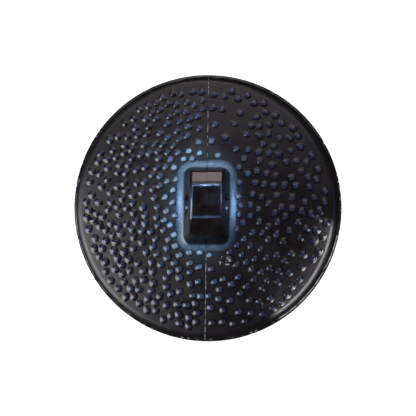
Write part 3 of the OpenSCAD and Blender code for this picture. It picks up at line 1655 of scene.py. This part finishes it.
@dataclass
class BackMoulding:
    """The whole back: plate, studs, shank, seam flash and gate scar in one piece."""

    dome: DomePlate = field(default_factory=DomePlate)

    def build(self, effects: Effects) -> Object:
        """Builds every feature of the moulding and joins them.

        Args:
            effects: The shared node groups.

        Returns:
            The back, standing in for its frame node.
        """
        satin = SatinMoulding().build(effects)
        # Smoother finish for studs and flare, which also carries the painted blue reflection of the ring
        # lamps.
        worn = SatinMoulding("worn_black_studs", roughness=0.2, grain_depth=0.002 * MM).build(effects)
        polished = PolishedMoulding().build(effects)
        dull = PolishedMoulding("dull_shank_walls", roughness=0.30, ior=1.18).build(effects)
        flash = TornPlastic().build(effects)
        torn = TornPlastic(
            "gate_break",
            dark=(0.008, 0.009, 0.012, 1),
            pale=(0.42, 0.42, 0.45, 1),
            scale=3.6,
            low=0.54,
            high=0.64,
            roughness=0.15,
        ).build(effects)
        plate = self.dome.build()
        plate.data.materials.append(satin)
        shank = ShankBlock(self.dome)
        features = [
            plate,
            StudField(self.dome).build(worn),
            shank.build(worn, polished, dull),
            SeamFlash(self.dome, shank).build(flash, polished),
            GateScar(self.dome).build(torn),
        ]
        piece = join(features, "back_moulding")
        return ride(piece, Node.BACK)


# ---------------------------------------------------------------- the front cap and the cement


@dataclass
class FrontCap:
    """The front: a turned cap with a dished face, a rounded rim and small chips on its edge."""

    seed: int = 23
    face_dish: float = 0.5 * MM
    face_wall: float = 1.0 * MM
    ring_radius: float = 11.2 * MM
    ring_width: float = 1.3 * MM
    rim_round: float = 0.3 * MM
    recess_radius: float = RECESS_RADIUS
    pole: float = POLE_RADIUS
    face_steps: int = 16
    bead_steps: int = 14
    rim_steps: int = 8
    bead_land: float = 0.02 * MM
    soft: float = 0.05 * MM
    segments: int = 288
    crease: float = 35.0
    chips: int = 26
    chip_depth: float = 0.07 * MM
    chip_reach: tuple[float, float] = (0.12 * MM, 0.3 * MM)
    chip_share: tuple[float, float] = (0.4, 1.0)
    chip_drop: float = 0.8

    def __post_init__(self) -> None:
        """Takes the cap's size from the frame."""
        low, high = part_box(Node.CAP.value)
        self.radius = (high.x - low.x) / 2
        self.height = high.z

    def profile(self) -> Profile:
        """Half section of the cap, from the middle of its face round to the recess.

        Returns:
            Radius and height of each ring.
        """
        inner = self.ring_radius - self.ring_width
        points = []
        for i in range(self.face_steps):
            radius = self.pole + (inner - self.pole) * i / self.face_steps
            points.append((radius, self.face_dish * (1 - (radius / inner) ** 2)))
        foot = self.radius - self.ring_radius
        points += [(inner, 0), (self.ring_radius - self.bead_land, 0)]
        points += arc(self.ring_radius, foot, foot, -90, 0, self.bead_steps)
        edge = self.radius - self.rim_round
        points += arc(edge, self.height - self.rim_round, self.rim_round, 0, 90, self.rim_steps)
        floor = self.face_dish + self.face_wall
        soft = self.soft
        wall = self.recess_radius
        points += [(wall + soft, self.height), (wall, self.height - soft)]
        points += [(wall, floor + soft), (wall - soft, floor), (self.pole, floor)]
        return points

    def chip_rim(self, piece: Object) -> None:
        """Dents the rim's upper edge at seeded places, as knocks do.

        Args:
            piece: The cap, in object mode.
        """
        rng = random.Random(self.seed)
        activate(piece)
        bpy.ops.object.mode_set(mode="EDIT")
        bpy.ops.mesh.select_mode(type="VERT")
        edge = self.radius - self.rim_round / 2
        level = self.height - self.rim_round / 2
        for _ in range(self.chips):
            turn = rng.uniform(0, 2 * math.pi)
            reach = rng.uniform(*self.chip_reach)
            place = Vector((edge * math.cos(turn), edge * math.sin(turn), level))
            if not select_where(piece, "verts", lambda v: (v.co - place).length < reach):
                continue
            depth = self.chip_depth * rng.uniform(*self.chip_share)
            inward = Vector((-math.cos(turn), -math.sin(turn), -self.chip_drop)) * depth
            bpy.ops.transform.translate(value=inward)
        bpy.ops.object.mode_set(mode="OBJECT")

    def build(self, effects: Effects) -> Object:
        """Turns the cap, chips its rim and dresses it.

        Args:
            effects: The shared node groups.

        Returns:
            The cap, standing in for its frame node.
        """
        piece = turn_body("front_cap_shell", self.profile(), Vector((0, 0, 0)), self.segments)
        self.chip_rim(piece)
        smooth(piece, self.crease)
        gloss = GlossRim(edge_radius=self.radius / MM, edge_height=self.height / MM)
        piece.data.materials.append(gloss.build(effects))
        return ride(piece, Node.CAP)


@dataclass
class CementRing:
    """The film of cement between the seat and the back, with an uneven squeezed edge."""

    seed: int = 3
    sides: int = 144
    width: float = 0.40 * MM
    waver: float = 0.05 * MM
    waves: float = 5.0
    soft: float = 0.02 * MM
    crease: float = 40.0

    def build(self, effects: Effects) -> Object:
        """Turns the ring open in the middle and makes its edges waver.

        Args:
            effects: The shared node groups.

        Returns:
            The ring, standing in for its frame node.
        """
        low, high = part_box(Node.CEMENT.value)
        outer = high.x - self.waver
        inner = outer - self.width
        clear_selection()
        bpy.ops.mesh.primitive_circle_add(vertices=self.sides, radius=inner, location=(0, 0, low.z))
        piece = begin_edit("cement_film", "EDGE")
        section = [
            (outer - self.soft, 0.0),
            (outer, self.soft),
            (outer, high.z - low.z - self.soft),
            (outer - self.soft, high.z - low.z),
            (inner, high.z - low.z),
        ]
        last_radius, last_rise = inner, 0.0
        for radius, rise in section:
            ratio = radius / last_radius
            push_ring(rise - last_rise, (ratio, ratio), Vector((0, 0, low.z + rise)))
            last_radius, last_rise = radius, rise
        bpy.ops.mesh.select_mode(type="EDGE")
        select_where(piece, "edges", lambda e: e.is_boundary)
        bpy.ops.mesh.bridge_edge_loops()
        mesh = bmesh.from_edit_mesh(piece.data)
        for vert in mesh.verts:
            turn = math.atan2(vert.co.y, vert.co.x)
            wave = noise.noise(Vector((math.cos(turn), math.sin(turn), self.seed)) * self.waves)
            grow = 1 + wave * self.waver / outer
            vert.co.x *= grow
            vert.co.y *= grow
        bmesh.update_edit_mesh(piece.data)
        close_edit()
        smooth(piece, self.crease)
        piece.data.materials.append(AmberCement().build(effects))
        return ride(piece, Node.CEMENT)


def ride(piece: Object, node: Node) -> Object:
    """Stands a piece in for a frame node: hangs it on the root body and hides the node's own part.

    Args:
        piece: The finished piece.
        node: The frame node that it replaces.

    Returns:
        The same piece.
    """
    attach(piece, BODY)
    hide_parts(node.value)
    return piece


# ---------------------------------------------------------------- floor, light and camera


def hang(data: bpy.types.ID, target: Vector, way: Vector, distance: float) -> Object:
    """Puts a light or a camera at a distance from a point, facing it.

    Args:
        data: The light or the camera.
        target: Point that it faces.
        way: Direction from the target to it.
        distance: How far from the target it hangs.

    Returns:
        Its object.
    """
    item = bpy.data.objects.new(data.name, data)
    item.location = target + way * distance
    item.rotation_mode = "QUATERNION"
    item.rotation_quaternion = (-way).to_track_quat("-Z", "Y")
    bpy.context.collection.objects.link(item)
    return item


@dataclass(frozen=True)
class Softbox:
    """A flat light that faces the button."""

    name: str
    azimuth: float
    elevation: float
    size: tuple[float, float]
    radiance: float
    colour: tuple[float, float, float] = (1, 1, 1)
    distance: float = 0.35
    spread: float = 180.0

    def build(self, target: Vector) -> None:
        """Adds the light.

        Args:
            target: Point that it faces.
        """
        a, e = math.radians(self.azimuth), math.radians(self.elevation)
        way = Vector((math.cos(a) * math.cos(e), math.sin(a) * math.cos(e), math.sin(e)))
        light = bpy.data.lights.new(self.name, "AREA")
        light.shape = "RECTANGLE"
        light.size, light.size_y = self.size
        light.energy = self.radiance * math.pi * self.size[0] * self.size[1]
        light.color = self.colour
        light.spread = math.radians(self.spread)
        lamp = hang(light, target, way, self.distance)
        lamp.visible_camera = False
        lamp.visible_diffuse = False


@dataclass(frozen=True)
class RingLamp:
    """Bluish lamps in a ring round the lens, each throwing a soft cone on the button's middle."""

    name: str
    powers: tuple[float, ...]
    cone: float
    colour: tuple[float, float, float]
    tilt: float
    distance: float = 0.30
    radius: float = 0.001

    def build(self, target: Vector, axis: Vector) -> None:
        """Adds the lamps, counted from the right and up.

        Args:
            target: Point that they face.
            axis: Direction from the target to the middle of the ring.
        """
        right = Vector((1, 0, 0))
        up = axis.cross(right).normalized()
        tilt = math.radians(self.tilt)
        for i, power in enumerate(self.powers):
            turn = 2 * math.pi * i / len(self.powers)
            side = right * math.cos(turn) + up * math.sin(turn)
            way = (axis * math.cos(tilt) + side * math.sin(tilt)).normalized()
            light = bpy.data.lights.new(f"{self.name}_{i}", "SPOT")
            light.energy = power
            light.color = self.colour
            light.shadow_soft_size = self.radius
            light.spot_size = math.radians(self.cone)
            light.spot_blend = 1.0
            hang(light, target, way, self.distance).visible_diffuse = False


@dataclass(frozen=True)
class Studio:
    """White paper under the button, soft lights round it and the camera above."""

    floor_size: float = 3.0
    elevation: float = 84.0
    roll: float = 0.8
    distance: float = 0.35
    sensor: float = 36.0
    clip_start: float = 0.01
    clip_end: float = 10.0
    field_width: float = 39.56 * MM
    aim_y: float = -0.03 * MM
    aim_drop: float = 0.5 * MM
    sky: Colour = (1.0, 1.0, 1.0, 1)
    sky_strength: float = 1.0
    gloom: Colour = (0.052, 0.036, 0.052, 1)
    softboxes: tuple[Softbox, ...] = (
        Softbox("left_softbox", 202, 31, (0.30, 0.31), 7.2),
        Softbox("top_wall", 88, 40, (0.62, 0.22), 1.25, (1.0, 0.92, 0.95)),
        Softbox("top_strip", 91, 1, (0.22, 0.09), 3.0, (1.0, 0.85, 0.82)),
        Softbox("left_glow", 180, 2, (0.12, 0.10), 6.0, (0.45, 0.6, 1.0)),
        Softbox("right_glow", 0, 2, (0.10, 0.10), 1.2, (0.45, 0.6, 1.0)),
    )
    lamp_tilts: tuple[int, ...] = (20, 26, 32)
    lamp_powers: tuple[float, ...] = (0.8, 0.75, 1.5, 1.2, 1.3, 0.5, 0.25, 0.4)
    lamp_cone: float = 1.15
    lamp_colour: tuple[float, float, float] = (0.30, 0.52, 1.0)
    margin_count: int = 9
    margin_start: float = -53.0
    margin_pitch: float = 5.5
    margin_inset: float = 0.3 * MM
    margin_rise: float = 0.8 * MM
    margin_height: float = 2.4 * MM
    margin_radiance: float = 1.3
    margin_elevation: float = 30.0
    margin_distance: float = 0.004
    margin_spread: float = 36.0

    def lay_floor(self, effects: Effects) -> None:
        """Adds the paper.

        Args:
            effects: The shared node groups.
        """
        clear_selection()
        bpy.ops.mesh.primitive_plane_add(size=self.floor_size)
        floor = bpy.context.object
        floor.name = "floor"
        floor.data.materials.append(PalePaper().build(effects))
        floor.visible_glossy = False
        floor.visible_shadow = False

    def light_room(self) -> None:
        """Sets an even white sky for the paper and a dim one for reflections."""
        world = bpy.data.worlds.new("studio")
        bpy.context.scene.world = world
        world.use_nodes = True
        tree = world.node_tree
        sky = tree.nodes["Background"]
        sky.inputs["Color"].default_value = self.sky
        sky.inputs["Strength"].default_value = self.sky_strength
        gloom = tree.nodes.new("ShaderNodeBackground")
        gloom.inputs["Color"].default_value = self.gloom
        path = tree.nodes.new("ShaderNodeLightPath")
        mix = tree.nodes.new("ShaderNodeMixShader")
        tree.links.new(path.outputs["Is Glossy Ray"], mix.inputs["Fac"])
        tree.links.new(sky.outputs["Background"], mix.inputs[1])
        tree.links.new(gloom.outputs["Background"], mix.inputs[2])
        tree.links.new(mix.outputs["Shader"], tree.nodes["World Output"].inputs["Surface"])

    def set_camera(self, target: Vector) -> Vector:
        """Adds the camera and makes it the scene's.

        Args:
            target: Point that it looks at.

        Returns:
            Direction from the target to the camera.
        """
        e = math.radians(self.elevation)
        way = Vector((0, -math.cos(e), math.sin(e)))
        data = bpy.data.cameras.new("camera")
        data.sensor_width = self.sensor
        data.lens = self.sensor * self.distance / self.field_width
        data.clip_start = self.clip_start
        data.clip_end = self.clip_end
        camera = hang(data, target, way, self.distance)
        roll = Matrix.Rotation(math.radians(self.roll), 3, way).to_quaternion()
        camera.rotation_quaternion = roll @ camera.rotation_quaternion
        bpy.context.scene.camera = camera
        return way

    def light_margin(self) -> None:
        """Adds small lights close outside the back's edge, on its lower right."""
        low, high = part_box(Node.BACK.value)
        centre = (low + high) / 2
        radius = (high.x - low.x) / 2 - self.margin_inset
        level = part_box(Node.CEMENT.value)[1].z + self.margin_rise
        for i in range(self.margin_count):
            turn = self.margin_start + i * self.margin_pitch
            a = math.radians(turn)
            place = Vector((centre.x + radius * math.cos(a), centre.y + radius * math.sin(a), level))
            size = (radius * math.radians(self.margin_pitch), self.margin_height)
            lamp = Softbox(
                f"margin_{i}",
                turn,
                self.margin_elevation,
                size,
                self.margin_radiance,
                distance=self.margin_distance,
                spread=self.margin_spread,
            )
            lamp.build(place)

    def build(self, effects: Effects) -> None:
        """Adds everything round the button.

        Args:
            effects: The shared node groups.
        """
        bpy.context.scene.view_settings.view_transform = "Standard"
        self.lay_floor(effects)
        self.light_room()
        rim = Vector((0, self.aim_y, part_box(Node.CAP.value)[1].z - self.aim_drop))
        way = self.set_camera(rim)
        middle = Vector((0, 0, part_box(Node.BACK.value)[1].z / 2))
        for softbox in self.softboxes:
            softbox.build(middle)
        mirror = Vector((-way.x, -way.y, way.z))
        for tilt in self.lamp_tilts:
            ring = RingLamp(f"edge_lamp_{tilt}", self.lamp_powers, self.lamp_cone, self.lamp_colour, tilt)
            ring.build(middle, mirror)
        self.light_margin()


def main() -> None:
    """Builds the button's pieces in order, then the studio."""
    logging.basicConfig(level=logging.INFO, format="%(name)s: %(message)s")
    effects = Effects.build()
    for maker in (FrontCap(), CementRing(), BackMoulding()):
        piece = maker.build(effects)
        LOG.info("%s: %d faces", piece.name, len(piece.data.polygons))
    Studio().build(effects)


if __name__ == "__main__":
    main()
